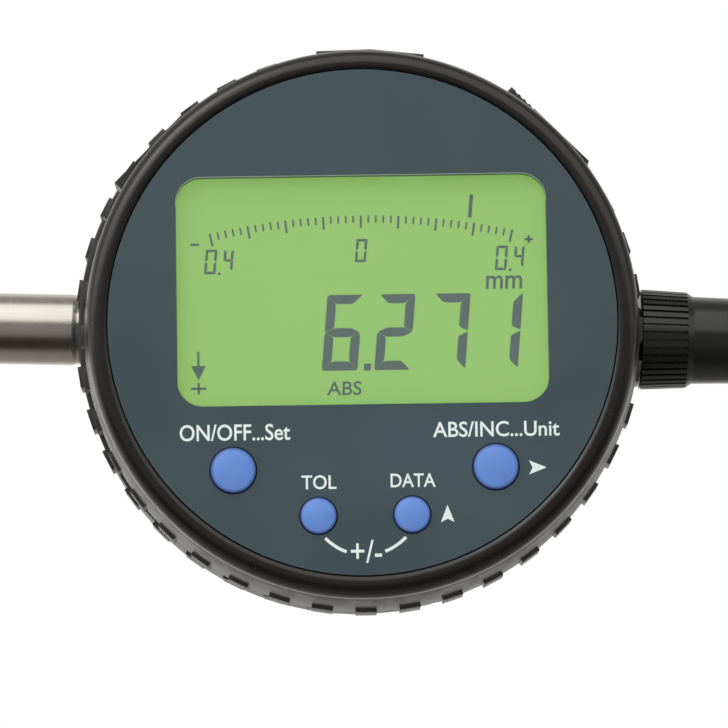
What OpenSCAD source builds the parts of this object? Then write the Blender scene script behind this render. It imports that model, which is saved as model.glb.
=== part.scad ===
// Digital dial indicator with a turning display head.
// X runs along the spindle, +X away from the contact point. Z is up and the face looks along -Y.
// The origin is on the stem's axis, at the middle of its straight clamping length.

/* [Stem and spindle] */
// Diameter of the clamping stem
stem_d = 8; // [7:0.1:10]
// Straight clamping length of the stem
stem_len = 20.8; // [14:0.1:40]
// Chamfer at the stem's outer end
stem_chamfer = 0.5; // [0.2:0.1:1]
// Length of the turned relief between the clamping length and the rear body
relief_len = 1.2; // [1:0.1:3]
// Depth of that relief below the stem's surface
relief_t = 0.2; // [0.05:0.05:0.4]
// Diameter of the spindle
spindle_d = 4; // [3:0.1:4.6]
// Measuring travel
travel = 12.5; // [5:0.5:13]
// Spindle left outside the stem when it is pushed right in
rod_spare = 1.5; // [0.5:0.1:5]
// Diameter of the ball on the contact point
ball_d = 3; // [2:0.1:4]
// Diameter of the contact point's knurled part
point_d = 4.8; // [4.6:0.1:6]
// Length of the contact point's knurled part
point_grip_len = 3.5; // [2:0.1:8]
// Length of the contact point's cone
point_cone_len = 2.4; // [1.5:0.1:6]

/* [Head] */
// Outer diameter of the head's wall
head_d = 61.6; // [61:0.1:75]
// Step from the head's wall in to the bezel's lip
lip_step = 0.5; // [0.4:0.05:0.8]
// Width of the bezel's lip
lip_w = 2.35; // [2.1:0.05:3]
// Thickness of the head's wall
head_wall = 1.9; // [1.5:0.1:2.6]
// Depth of the lip behind the face
lip_depth = 2; // [1.5:0.1:3]
// Depth of the whole head behind the face
head_depth = 15; // [15:0.1:19]
// Thickness of the face panel
panel_t = 1.6; // [1:0.1:2]
// Height of the flat covers over the head's wall
flat_out = 0.6; // [0.5:0.1:1]
// Width of the flat covers
flat_w = 12; // [8:0.1:12.5]
// Height of the ridge in the middle of the top flat
flat_ridge = 0.4; // [0:0.05:0.6]
// Turn of the head on the rear body at rest, clockwise as seen from the front
head_clock = -1.8; // [-10:0.1:10]
// Side shift of the flat covers
flat_shift = 1.2; // [0:0.1:2.5]

/* [Grip pads] */
// Number of grip pads around each rim
pad_count = 40; // [20:1:48]
// Width of a grip pad
pad_w = 2.35; // [1:0.05:3]
// Height of a grip pad over its rim
pad_proud = 0.37; // [0.2:0.01:0.45]
// Length of a grip pad along the depth
pad_len = 5.2; // [3:0.1:5.4]

/* [Display and keys] */
// Width of the display window
window_w = 40.6; // [30:0.1:41]
// Height of the display window
window_h = 25.3; // [16:0.1:25.5]
// Corner radius of the display window
window_r = 2.8; // [1:0.1:5]
// Height of the window's middle over the face's middle
window_up = 3.5; // [2:0.1:3.5]
// Diameter of the two large keys
big_key_d = 5.05; // [4:0.05:6]
// Diameter of the two small keys
small_key_d = 4.05; // [3:0.05:5]
// Side distance of a large key from the middle
big_key_x = 14.3; // [12:0.1:15]
// Distance of the large keys below the middle
big_key_y = 16.2; // [15.5:0.1:17]
// Side distance of a small key from the middle
small_key_x = 5.1; // [4:0.1:6.5]
// Distance of the small keys below the middle
small_key_y = 21.3; // [20:0.1:22]
// Travel of a key
key_travel = 0.4; // [0.2:0.05:0.6]
// Height of a key over the face
key_proud = 0.6; // [0.3:0.05:1]

/* [Rear body] */
// Step from the head's wall out to the rear body's rim
rim_out = 0.4; // [0.2:0.1:2]
// Wall between the stem and the rear body's front
stem_cover = 1; // [1:0.1:3]
// Depth of the rear body behind the stem's axis
back_room = 6.5; // [6.5:0.1:12]
// Shift of the head's axis to the right of the rear body's axis
head_shift_x = 0.55; // [0:0.05:1]
// Shift of the head's axis below the rear body's axis
head_shift_z = 1; // [0:0.05:1]
// Thickness of the back cover
cover_t = 1.2; // [0.8:0.1:2]
// Half of the free width between the two spindle bosses
boss_in = 22; // [21.7:0.1:24]

/* [Guard cap] */
// Diameter of the cap's knurled collar at its root
collar_d = 11.3; // [10.5:0.1:11.5]
// Length of the knurled collar
collar_len = 5.3; // [3:0.1:8]
// Length of the cap's smooth tube
tube_len = 16.7; // [14:0.1:40]
// Diameter of the tube where it leaves the collar
tube_d = 9.84; // [9:0.02:10]
// Taper of the tube, in diameter for each unit of length
tube_taper = 0.055; // [0:0.005:0.06]
// Number of flutes in the collar
flute_count = 40; // [24:1:48]

/* [Battery] */
// Diameter of the coin cell
cell_d = 20; // [16:0.1:20.5]
// Thickness of the coin cell
cell_t = 3.2; // [1.6:0.1:3.2]
// Distance that the drawer comes out
drawer_travel = 22; // [16:0.5:30]

/* [Hidden] */
$fn = 72;
run_gap = 0.03;
seat_gap = 0.02;
slide_gap = 0.1;
cut = 1;

// Places of the main axes and planes.
seat_sink = 0.4;
head_r = head_d / 2;
rim_r = head_r + rim_out;
flat_r = head_r + flat_out;
stem_r = stem_d / 2;
swivel_gap = 0.3;
body_front = head_depth + swivel_gap;
stem_depth = body_front + stem_cover + stem_r;
body_back = stem_depth + back_room;
body_x = stem_len / 2 + relief_len - seat_sink + rim_r;
head_x = body_x + head_shift_x;
head_z = -head_shift_z;
face_y = -stem_depth;
stem_end = -stem_len / 2 - stem_chamfer;
bore_r = spindle_d / 2 + run_gap;

// Depths behind the face, front to back.
gasket_t = 0.2;
lcd_front = panel_t + 0.1;
lcd_t = 1.75;
light_t = 1.2;
board_front = 5;
board_t = 1.2;
board_back = board_front + board_t;
switch_t = 1;
plate_t = 1.2;
plate_front = head_depth - plate_t;
tray_front = plate_front - 3.9;
tray_back = plate_front - 0.3;
body_wall = 1.2;
cavity_front = body_front + body_wall;
cover_front = body_back - cover_t;

// Head.
head_in_r = head_r - head_wall;
lip_r = head_r - lip_step;
groove_r = lip_r - lip_w;
panel_r = groove_r - 0.1;
ledge_r = groove_r - 0.95;
skirt_r = head_in_r - run_gap;
skirt_in_r = groove_r - 0.55;
head_boss_at = head_in_r - 2.4;
head_boss_r = 2.7;
screw_r = 0.8;
screw_head_r = 1.4;
pad_front = 9.3;
pad_step = 360 / pad_count;
flat_front = pad_front + 0.2;
flat_back = head_depth - 0.6;
flat_floor = head_r - 1.2;
left_flat = 225;
top_flat = 272.5;
right_flat = 315;

// Battery drawer, measured along its own direction.
cap_r = head_r - 1;
cap_half_w = cell_d / 2 + 1.6;
cap_pad_turn = pad_step * floor(asin((cap_half_w - pad_w / 2) / head_r) / pad_step);
tray_half_w = cell_d / 2 + 0.7;
cell_at = cap_r - 0.3 - cell_d / 2;
cell_front = tray_front + 0.05;

// Data port, measured along its own direction.
port_half_w = 4.6;
port_front = 10.4;
port_back = 13.5;
port_block_l = 2.9;
port_face = head_in_r - 0.6;
port_pitch = 2;
port_pin_w = 1;
port_rib = 0.4;
port_rib_depth = 0.1;
port_rib_count = 4;

// Swivel.
swivel_r = 7.5;
swivel_flange_r = 9;
swivel_spigot_r = 5.5;
swivel_bore_r = 4.5;
swivel_flange_front = plate_front - 0.9;
swivel_screw_at = 6.5;
stop_at = 11.5;
stop_r = 0.8;
stop_angle = 90;
turn_low = -45;
turn_high = 225;

// Display.
lcd_w = window_w + 0.8;
lcd_h = window_h + 0.8;
frame_wall = 0.8;
strip_w = 1.6;
light_h = lcd_h - 2 * strip_w - 1;

// Rear body.
body_side = 2;
body_in_r = rim_r - body_side;
cover_r = rim_r - 1.2;
cover_screw_at = body_in_r - 2;
rail_y = -8;
rail_r = 1;
boss_low = 5.5;
boss_high = 2.5;
spigot_r = stem_r - 0.75;
stem_bore_r = spindle_d / 2 + 0.6;
bush_seat_r = spindle_d / 2 + 1.1;
bush_len = 6.5;
wiper_len = 1;
flange_r = spigot_r + 0.25;
flange_out = max(rim_r, head_shift_x + head_r) + pad_proud + 0.08;
nose_r = collar_d / 2 - 2.05;
nose_out = flange_out + 3.8;

// Moving scale.
carrier_len = 12;
carrier_x = -13;
carrier_half = 5;
carrier_front = stem_depth - spindle_d / 2 - 0.8;
carrier_back = stem_depth + spindle_d / 2 + 0.8;
scale_len = 2 * boss_in - travel - 1.5;
scale_t = 0.6;
sensor_front = carrier_back + scale_t + 0.1;
sensor_t = 0.8;
post_at = [boss_in - 3, 12];

// Spindle.
rod_free = travel + rod_spare;
rod_end = stem_end - rod_free;
rod_top = body_x + flange_out + 1.8;
stud_len = 5;
stud_r = 1.25;
cone_tip_r = ball_d * 0.45;
ball_x = rod_end - point_grip_len - point_cone_len - ball_d * 0.17;

// Spring.
wire = 0.4;
coil_r = spindle_d / 2 + 0.25;
spring_from = carrier_x + carrier_len;
spring_len = boss_in - spring_from;
spring_turns = 12;

// Guard cap.
cap_from = flange_out + 0.05;
collar_to = cap_from + collar_len;
chamfer_to = collar_to + 0.7;
cap_to = chamfer_to + tube_len;
collar_end_d = collar_d - 0.09 * collar_len;
tube_end_d = tube_d - tube_taper * tube_len;
tube_bore_r = spindle_d / 2 + 0.9;

KEYS = [[-big_key_x, big_key_y, big_key_d], [big_key_x, big_key_y, big_key_d],
        [-small_key_x, small_key_y, small_key_d], [small_key_x, small_key_y, small_key_d]];

// Chips on the back of the display board: corner x and y, side and thickness.
CHIPS = [[4, 8, 9, 1.4], [-16, 10, 6.5, 1.2], [8, -12, 6, 1]];

// Swivel frame, for fixed pieces on the head's axis: x to the right, y down, z is the depth behind the face.
module swivel_frame() {
    translate([head_x, face_y, head_z])
        rotate([-90, 0, 0])
            children();
}

// Head frame, which is turned with the head.
module head_frame() {
    swivel_frame()
        rotate(head_clock)
            children();
}

// Rear body frame, with the same directions.
module body_frame() {
    translate([body_x, face_y, 0])
        rotate([-90, 0, 0])
            children();
}

// Spindle frame: z runs along +X from a place measured from the rear body's axis.
module spindle_frame(from) {
    translate([body_x + from, 0, 0])
        rotate([0, 90, 0])
            children();
}

module disc(r, from, to) {
    translate([0, 0, from])
        cylinder(r = r, h = to - from);
}

module ring(r_out, r_in, from, to) {
    difference() {
        disc(r_out, from, to);
        disc(r_in, from - cut, to + cut);
    }
}

module block(low, high) {
    translate(low)
        cube(high - low);
}

module rounded(w, h, r) {
    square([w - 2 * r, h], center = true);
    square([w, h - 2 * r], center = true);
    for (x = [-1, 1], y = [-1, 1])
        translate([x * (w / 2 - r), y * (h / 2 - r)])
            circle(r);
}

module plate(w, h, r, from, to) {
    translate([0, -window_up, from])
        linear_extrude(to - from)
            rounded(w, h, r);
}

// One grip pad on a rim, at local angle 0.
module pad(r, from) {
    block([r - 0.5, -pad_w / 2, from], [r + pad_proud, pad_w / 2, from + pad_len]);
}

// A screw along local z: its shank runs from the head's underside to the far end.
module screw(top, under, far, head_r = screw_head_r) {
    disc(head_r, min(top, under), max(top, under));
    disc(screw_r - seat_gap, min(under, far), max(under, far));
}

// Places shared by pieces and the holes that take them.
module at_head_bosses() {
    for (a = [0:90:270])
        rotate(a)
            translate([head_boss_at, 0, 0])
                children();
}

module at_cover_screws() {
    for (a = [45:90:315])
        rotate(a)
            translate([cover_screw_at, 0, 0])
                children();
}

module at_posts() {
    for (x = [-1, 1], y = [-1, 1])
        translate([x * post_at[0], y * post_at[1], 0])
            children();
}

module at_swivel_screws() {
    for (a = [30:120:270])
        rotate(a)
            translate([swivel_screw_at, 0, 0])
                children();
}

module at_keys() {
    for (k = KEYS)
        translate([k[0], k[1], 0]) {
            $key_r = k[2] / 2;
            children();
        }
}

// The drawer's tray and curved cap. The hole for them is larger by a gap and runs out through the wall.
module drawer_space(gap = 0, out = 0) {
    block([cell_at, -tray_half_w - gap, tray_front - gap],
          [cap_r + gap, tray_half_w + gap, tray_back + gap]);
    intersection() {
        ring(head_r + out, cap_r - gap, flat_front - gap, flat_back + gap);
        block([0, -cap_half_w - gap, flat_front - gap],
              [head_r + out, cap_half_w + gap, flat_back + gap]);
    }
}

module flat_block(floor, gap = 0, up = 0) {
    block([floor, -flat_w / 2 - flat_shift - gap, flat_front - gap],
          [flat_r + up, flat_w / 2 - flat_shift + gap, flat_back + gap]);
}

// The flat on the top of the head's wall, with a low ridge along its middle.
module top_block() {
    translate([0, 0, flat_front])
        linear_extrude(flat_back - flat_front)
            polygon([[flat_floor, -flat_w / 2], [flat_r, -flat_w / 2], [flat_r + flat_ridge, 0],
                     [flat_r, flat_w / 2], [flat_floor, flat_w / 2]]);
}

// The port cover's plug, which fills the opening of the data port.
module port_plug(from, to, gap = 0) {
    block([from, -flat_shift - port_half_w - gap, port_front - gap],
          [to, -flat_shift + port_half_w + gap, port_back + gap]);
}

module port_space(gap) {
    flat_block(flat_floor - gap, gap, cut);
    port_plug(head_in_r - cut, flat_floor, gap);
}

// ---------------------------------------------------------------- rear body

module body_shell() {
    color("#2b2c2e") {
        body_frame() {
            difference() {
                union() {
                    rotate_extrude()
                        polygon([[0, body_front], [rim_r - 0.2, body_front], [rim_r, body_front + 0.2],
                                 [rim_r, body_back - 1], [rim_r - 0.3, body_back - 0.3],
                                 [rim_r - 1, body_back], [0, body_back]]);
                    for (i = [1:pad_count - 1])
                        rotate(i * pad_step + head_clock)
                            pad(rim_r, body_front + 0.35);
                }
                body_cavity();
                body_holes();
            }
        }
    }
}

module body_cavity() {
    disc(cover_r + seat_gap, cover_front, body_back + cut);
    difference() {
        disc(body_in_r, cavity_front, cover_front);
        for (side = [-1, 1])
            block([side > 0 ? boss_in : -rim_r, rail_y - boss_high, cavity_front - cut],
                  [side > 0 ? rim_r : -boss_in, boss_low, cover_front + cut]);
        at_cover_screws()
            disc(2.4, cavity_front - cut, cover_front + cut);
        at_posts()
            disc(2, cavity_front - cut, sensor_front - seat_gap);
    }
}

module body_holes() {
    at_cover_screws()
        disc(screw_r, cover_front - 6, cover_front + cut);
    at_posts()
        disc(screw_r, sensor_front - 5, sensor_front + cut);
    translate([0, 0, stem_depth])
        rotate([0, 90, 0]) {
            disc(spigot_r + seat_gap, -rim_r - cut, rim_r + cut);
            disc(stem_r + 0.25, -rim_r - cut, -rim_r + seat_sink);
            disc(flange_r + 0.05, rim_r - 0.5, rim_r + cut);
        }
    translate([0, rail_y, stem_depth])
        rotate([0, 90, 0])
            disc(rail_r + seat_gap, -boss_in - 3, boss_in + 3);
    translate([head_shift_x, head_shift_z, 0]) {
        disc(swivel_spigot_r + seat_gap, body_front - cut, cavity_front + cut);
        at_swivel_screws()
            disc(screw_r, body_front - cut, cavity_front + cut);
        rotate(stop_angle)
            translate([stop_at, 0, 0])
                disc(stop_r + seat_gap, body_front - cut, cavity_front + cut);
    }
}

module back_cover() {
    color("#34363a")
        body_frame()
            difference() {
                disc(cover_r, cover_front, body_back);
                at_cover_screws() {
                    disc(screw_r + 0.1, cover_front - cut, body_back + cut);
                    disc(screw_head_r + 0.1, body_back - 0.7, body_back + cut);
                }
            }
}

module cover_screws() {
    color("#b9bcc0")
        body_frame()
            at_cover_screws()
                difference() {
                    screw(body_back - 0.1, body_back - 0.68, cover_front - 5.5);
                    drive_slot(body_back - 0.4, body_back + cut);
                }
}

module drive_slot(from, to) {
    for (a = [0, 90])
        rotate(a)
            block([-0.8, -0.15, from], [0.8, 0.15, to]);
}

module stem() {
    seat_at = stem_chamfer + stem_len + relief_len;
    color("#bdb9b2")
        difference() {
            translate([stem_end, 0, 0])
                rotate([0, 90, 0]) {
                    cylinder(r1 = stem_r - stem_chamfer, r2 = stem_r, h = stem_chamfer);
                    disc(stem_r, stem_chamfer, stem_chamfer + stem_len);
                    disc(stem_r - relief_t, stem_chamfer + stem_len, seat_at);
                    disc(spigot_r, seat_at, body_x - boss_in - stem_end);
                }
            translate([stem_end, 0, 0])
                rotate([0, 90, 0]) {
                    disc(stem_bore_r, -cut, 2 * stem_len + 20);
                    disc(bush_seat_r + seat_gap, -cut, wiper_len + bush_len);
                }
        }
}

module stem_wiper() {
    color("#1d1d1f")
        translate([stem_end, 0, 0])
            rotate([0, 90, 0])
                ring(bush_seat_r, bore_r, 0.1, wiper_len - seat_gap);
}

module lower_bush() {
    color("#b08d4a")
        translate([stem_end, 0, 0])
            rotate([0, 90, 0])
                ring(bush_seat_r, bore_r, wiper_len, wiper_len + bush_len - seat_gap);
}

module upper_bush() {
    color("#b08d4a")
        spindle_frame(0)
            difference() {
                union() {
                    disc(spigot_r, boss_in, rim_r - 0.5);
                    disc(flange_r, rim_r - 0.5, flange_out);
                    disc(nose_r, flange_out, nose_out);
                }
                disc(bore_r, boss_in - cut, nose_out + cut);
            }
}

module guard_cap() {
    color("#1b1c1e")
        spindle_frame(0)
            difference() {
                rotate_extrude()
                    polygon([[0, cap_from], [collar_d / 2 - 0.25, cap_from], [collar_d / 2, cap_from + 0.25],
                             [collar_end_d / 2, collar_to], [tube_d / 2, chamfer_to],
                             [tube_end_d / 2, cap_to - 0.9], [tube_end_d / 2 - 0.25, cap_to - 0.3],
                             [tube_end_d / 2 - 0.9, cap_to], [0, cap_to]]);
                disc(nose_r + seat_gap, cap_from - cut, nose_out + 0.1);
                disc(tube_bore_r, nose_out, cap_to - 1.5);
                flutes();
            }
}

// Straight moulded flutes that follow the collar's taper.
module flutes() {
    lean = atan((collar_d - collar_end_d) / 2 / collar_len);
    for (i = [0:flute_count - 1])
        rotate(i * 360 / flute_count)
            translate([collar_d / 2 + 0.06, 0, cap_from])
                rotate([0, -lean, 0])
                    cylinder(r = 0.27, h = 2 * (collar_len + 1), center = true, $fn = 16);
}

module guide_rail() {
    color("#c9cbce")
        body_frame()
            translate([0, rail_y, stem_depth])
                rotate([0, 90, 0])
                    disc(rail_r, -boss_in - 2.9, boss_in + 2.9);
}

module sensor_board() {
    color("#1f5b3a")
        body_frame()
            difference() {
                block([-post_at[0] - 2.5, -post_at[1] - 2.5, sensor_front],
                      [post_at[0] + 2.5, post_at[1] + 2.5, sensor_front + sensor_t]);
                at_posts()
                    disc(screw_r + 0.1, sensor_front - cut, sensor_front + sensor_t + cut);
            }
}

module sensor_chip() {
    color("#17181a")
        body_frame()
            block([-4, 7.5, sensor_front - 1.2], [4, 13, sensor_front - seat_gap]);
}

module board_screws() {
    color("#b9bcc0")
        body_frame()
            at_posts()
                screw(sensor_front + sensor_t + 0.5, sensor_front + sensor_t + seat_gap, sensor_front - 4.5);
}

module friction_washer() {
    color("#e6e1d2")
        swivel_frame()
            ring(stop_at - stop_r - 0.5, swivel_r + 0.2, head_depth + 0.03, body_front - 0.03);
}

module swivel_bush() {
    color("#b08d4a")
        swivel_frame()
            difference() {
                union() {
                    disc(swivel_flange_r, swivel_flange_front, plate_front - 0.05);
                    disc(swivel_r, plate_front - 0.05, body_front);
                    disc(swivel_spigot_r, body_front, cavity_front);
                }
                disc(swivel_bore_r, swivel_flange_front - cut, cavity_front + cut);
                at_swivel_screws() {
                    disc(screw_r + 0.05, swivel_flange_front - cut, cavity_front + cut);
                    disc(screw_head_r + 0.05, swivel_flange_front - cut, swivel_flange_front + 0.6);
                }
            }
}

module swivel_screws() {
    color("#b9bcc0")
        swivel_frame()
            at_swivel_screws()
                difference() {
                    screw(swivel_flange_front + 0.05, swivel_flange_front + 0.58, cavity_front);
                    drive_slot(swivel_flange_front - cut, swivel_flange_front + 0.35);
                }
}

module stop_pin() {
    color("#c9cbce")
        swivel_frame()
            rotate(stop_angle)
                translate([stop_at, 0, 0])
                    disc(stop_r, plate_front + 0.2, cavity_front);
}

// Square wire wound between the scale carrier and the far boss.
module return_spring() {
    span = 360 * wire / (spring_len - wire) * spring_turns;
    arc = [for (i = [0:4]) -span / 2 + span * i / 4];
    color("#9a9da1")
        spindle_frame(spring_from + seat_gap)
            linear_extrude(spring_len - 2 * seat_gap, twist = 360 * spring_turns,
                           slices = 16 * spring_turns, $fn = 10)
                polygon(concat([for (a = arc) coil_r * [cos(a), sin(a)]],
                               [for (i = [4:-1:0]) (coil_r + wire) * [cos(arc[i]), sin(arc[i])]]));
}

// Flat flexible cable from the sensor board through the swivel to the display board.
module flex_cable() {
    lane = cavity_front + 0.25;
    color("#b5742e")
        body_frame() {
            block([-1.5, 5.9, lane], [3.5, 6.1, sensor_front - seat_gap]);
            block([-1.5, 2.9, lane], [3.5, 6.1, lane + 0.2]);
            block([-1.5, 2.9, board_back + 1.5], [3.5, 3.1, lane + 0.2]);
        }
}

// ---------------------------------------------------------------- spindle

module spindle() {
    color("#c7c9cc")
        difference() {
            translate([rod_end, 0, 0])
                rotate([0, 90, 0]) {
                    cylinder(r1 = spindle_d / 2 - 0.3, r2 = spindle_d / 2, h = 0.3);
                    disc(spindle_d / 2, 0.3, rod_top - rod_end - 0.3);
                    translate([0, 0, rod_top - rod_end - 0.3])
                        cylinder(r1 = spindle_d / 2, r2 = spindle_d / 2 - 0.3, h = 0.3);
                }
            translate([rod_end, 0, 0])
                rotate([0, 90, 0])
                    disc(stud_r, -cut, stud_len + 0.5);
        }
}

module contact_point() {
    color("#a9abae")
        difference() {
            translate([rod_end, 0, 0])
                rotate([0, -90, 0]) {
                    disc(stud_r - seat_gap, -stud_len, 0.1);
                    disc(spindle_d / 2, seat_gap, 0.4);
                    disc(point_d / 2, 0.4, point_grip_len);
                    translate([0, 0, point_grip_len])
                        cylinder(r1 = point_d / 2, r2 = cone_tip_r, h = point_cone_len);
                }
            translate([ball_x, 0, 0])
                sphere(d = ball_d + 2 * seat_gap);
            translate([rod_end, 0, 0])
                rotate([0, -90, 0])
                    for (i = [0:23])
                        rotate(i * 15)
                            translate([point_d / 2 + 0.06, 0, 0.2])
                                cylinder(r = 0.18, h = point_grip_len - 0.2, $fn = 16);
        }
}

module contact_ball() {
    color("#8f9296")
        translate([ball_x, 0, 0])
            rotate([0, 90, 0])
                sphere(d = ball_d);
}

module scale_carrier() {
    color("#a4a7ab")
        body_frame()
            difference() {
                union() {
                    block([carrier_x, -carrier_half, carrier_front],
                          [carrier_x + carrier_len, carrier_half, carrier_back]);
                    block([carrier_x + 3, rail_y - 2.2, stem_depth - 2],
                          [carrier_x + carrier_len - 3, -carrier_half + 0.5, stem_depth + 2]);
                }
                translate([0, 0, stem_depth])
                    rotate([0, 90, 0])
                        disc(spindle_d / 2 + 0.01, carrier_x - cut, carrier_x + carrier_len + cut);
                block([carrier_x, rail_y - 3, stem_depth - rail_r - run_gap],
                      [carrier_x + carrier_len, rail_y + 1.3, stem_depth + rail_r + run_gap]);
                carrier_screw_space(screw_r);
            }
}

module carrier_screw_space(r) {
    translate([carrier_x + carrier_len / 2, 0, stem_depth])
        rotate([-90, 0, 0])
            disc(r, spindle_d / 2 + 0.05, carrier_half + cut);
}

module carrier_screw() {
    color("#b9bcc0")
        body_frame()
            intersection() {
                carrier_screw_space(screw_r - seat_gap);
                block([carrier_x, 0, carrier_front],
                      [carrier_x + carrier_len, carrier_half - 0.2, carrier_back]);
            }
}

module glass_scale() {
    color("#cfe3e8")
        body_frame()
            block([-boss_in + 0.5, -4, carrier_back + seat_gap],
                  [-boss_in + 0.5 + scale_len, 4, carrier_back + scale_t]);
}

// ---------------------------------------------------------------- display head

module head_shell() {
    color("#2e2e2f")
        head_frame()
            difference() {
                union() {
                    rotate_extrude()
                        polygon([[head_in_r, lip_depth], [lip_r, lip_depth], [head_r, pad_front - 0.3],
                                 [head_r, head_depth - 0.4], [head_r - 0.4, head_depth],
                                 [head_in_r, head_depth]]);
                    at_head_bosses()
                        disc(head_boss_r, board_back + seat_gap, plate_front - seat_gap);
                    head_pads();
                    rotate(top_flat)
                        top_block();
                }
                at_head_bosses()
                    disc(screw_r, plate_front - 5, head_depth);
                rotate(left_flat)
                    drawer_space(slide_gap, cut);
                rotate(right_flat)
                    port_space(slide_gap);
            }
}

// True where a pad at angle a stands clear of a flat that takes up low to high across its direction.
function clears(a, flat, low, high) = cos(a - flat) < 0
    || head_r * sin(a - flat) + pad_w / 2 < low || head_r * sin(a - flat) - pad_w / 2 > high;

module head_pads() {
    cap_w = cap_half_w + 2 * slide_gap;
    half = flat_w / 2 + 2 * slide_gap;
    for (i = [0:pad_count - 1]) {
        a = i * pad_step;
        if (clears(a, left_flat, -cap_w, cap_w) && clears(a, top_flat, -half, half)
            && clears(a, right_flat, -half - flat_shift, half - flat_shift))
            rotate(a)
                pad(head_r, pad_front);
    }
}

module bezel_ring() {
    crown = 0.15;
    flat_to = groove_r + 0.65;
    color("#3b3937")
        head_frame()
            rotate_extrude($fn = 144)
                polygon(concat([[groove_r, 0.15], [groove_r + 0.3, -crown]],
                               [for (a = [0:10:90]) [flat_to + (lip_r - flat_to) * sin(a),
                                                     lip_depth - (lip_depth + crown) * cos(a)]],
                               [[skirt_r, lip_depth], [skirt_r, board_front - 0.05],
                                [skirt_in_r, board_front - 0.05], [skirt_in_r, panel_t + 1],
                                [ledge_r, panel_t + 1], [ledge_r, panel_t + gasket_t],
                                [groove_r, panel_t + gasket_t]]));
}

module face_panel() {
    color("#435457")
        head_frame()
            difference() {
                disc(panel_r, 0, panel_t);
                plate(window_w, window_h, window_r, -cut, panel_t + cut);
                at_keys()
                    disc($key_r + 0.08, -cut, panel_t + cut);
            }
}

module panel_gasket() {
    color("#202122")
        head_frame()
            ring(panel_r, ledge_r + 0.05, panel_t + 0.01, panel_t + gasket_t - 0.01);
}

module display_window() {
    color("#bfe08f", 0.4)
        head_frame()
            plate(window_w - 0.1, window_h - 0.1, window_r - 0.05, 0.45, panel_t - 0.1);
}

module lcd_panel() {
    color("#8cc864")
        head_frame()
            plate(lcd_w, lcd_h, 0.6, lcd_front, lcd_front + lcd_t);
}

module backlight_plate() {
    color("#e8f0d0")
        head_frame()
            plate(lcd_w - 1, light_h, 0.5, lcd_front + lcd_t + 0.02, lcd_front + lcd_t + light_t);
}

module lcd_frame() {
    in_w = lcd_w + 0.1;
    in_h = lcd_h + 0.1;
    color("#e4e4e0")
        head_frame()
            intersection() {
                difference() {
                    plate(in_w + 2 * frame_wall, in_h + 2 * frame_wall, 1, lcd_front, board_front - 0.05);
                    plate(in_w, in_h, 0.6, lcd_front - cut, board_front);
                }
                disc(ledge_r - 0.1, 0, board_front);
            }
}

module contact_strips() {
    color("#8a8d90")
        head_frame()
            for (side = [-1, 1])
                translate([0, -window_up + side * (lcd_h / 2 - strip_w / 2 - 0.1), 0])
                    block([-lcd_w / 2 + 2, -strip_w / 2, lcd_front + lcd_t + 0.01],
                          [lcd_w / 2 - 2, strip_w / 2, board_front - 0.01]);
}

module display_board() {
    color("#1f5b3a")
        head_frame()
            disc(head_in_r - 0.4, board_front, board_back);
}

module board_chips() {
    color("#17181a")
        head_frame()
            for (chip = CHIPS)
                translate([chip[0], chip[1], board_back])
                    block([0, 0, 0.01], [chip[2], chip[2], chip[3]]);
}

module flex_socket() {
    color("#e9e2cf")
        head_frame()
            block([-3.5, -1.5, board_back + 0.01], [3.5, 3, board_back + 1.4]);
}

module key_switches() {
    color("#c9cbce")
        head_frame()
            at_keys()
                translate([0, 0, board_front - switch_t])
                    cylinder(r1 = $key_r - 0.7, r2 = $key_r - 0.2, h = switch_t - 0.01);
}

module head_rear_plate() {
    slot_half = stop_r + 0.1;
    ease = asin(slot_half / stop_at);
    pin_at = stop_angle - head_clock;
    slot_from = pin_at - turn_high - ease;
    slot_to = pin_at - turn_low + ease;
    color("#3a3b3d")
        head_frame()
            difference() {
                disc(head_in_r - 0.05, plate_front, head_depth);
                disc(swivel_r + run_gap, plate_front - cut, head_depth + cut);
                rotate(slot_from)
                    rotate_extrude(angle = slot_to - slot_from)
                        translate([stop_at - slot_half, plate_front - cut])
                            square([2 * slot_half, plate_t + 2 * cut]);
                at_head_bosses() {
                    disc(screw_r + 0.1, plate_front - cut, head_depth + cut);
                    disc(screw_head_r + 0.1, head_depth - 0.7, head_depth + cut);
                }
            }
}

module plate_screws() {
    color("#b9bcc0")
        head_frame()
            at_head_bosses()
                screw(head_depth - 0.1, head_depth - 0.68, plate_front - 4.5);
}

module port_block() {
    color("#d8d3c4")
        head_frame()
            rotate(right_flat)
                block([port_face - port_block_l, -flat_shift - port_half_w + 0.3, port_front],
                      [port_face, -flat_shift + port_half_w - 0.3, port_back]);
}

module port_contacts() {
    color("#c9a13b")
        head_frame()
            rotate(right_flat)
                for (i = [-1.5:1:1.5])
                    translate([port_face, port_pitch * i - flat_shift, 0])
                        block([0.01, -port_pin_w / 2, port_front + 0.9],
                              [0.1, port_pin_w / 2, port_back - 0.9]);
}

module battery_contacts() {
    color("#c9a13b")
        head_frame()
            rotate(left_flat) {
                block([cell_at - 2, -1.5, board_back + 0.01], [cell_at + 2, 1.5, board_back + 0.3]);
                block([cell_at + 1.7, -1.5, board_back + 0.01], [cell_at + 2, 1.5, tray_front - 0.02]);
                block([cell_at - cell_d / 2 - 0.4, 2.5, board_back + 0.01],
                      [cell_at - cell_d / 2 - 0.1, 5.5, tray_front + 2]);
            }
}

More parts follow.
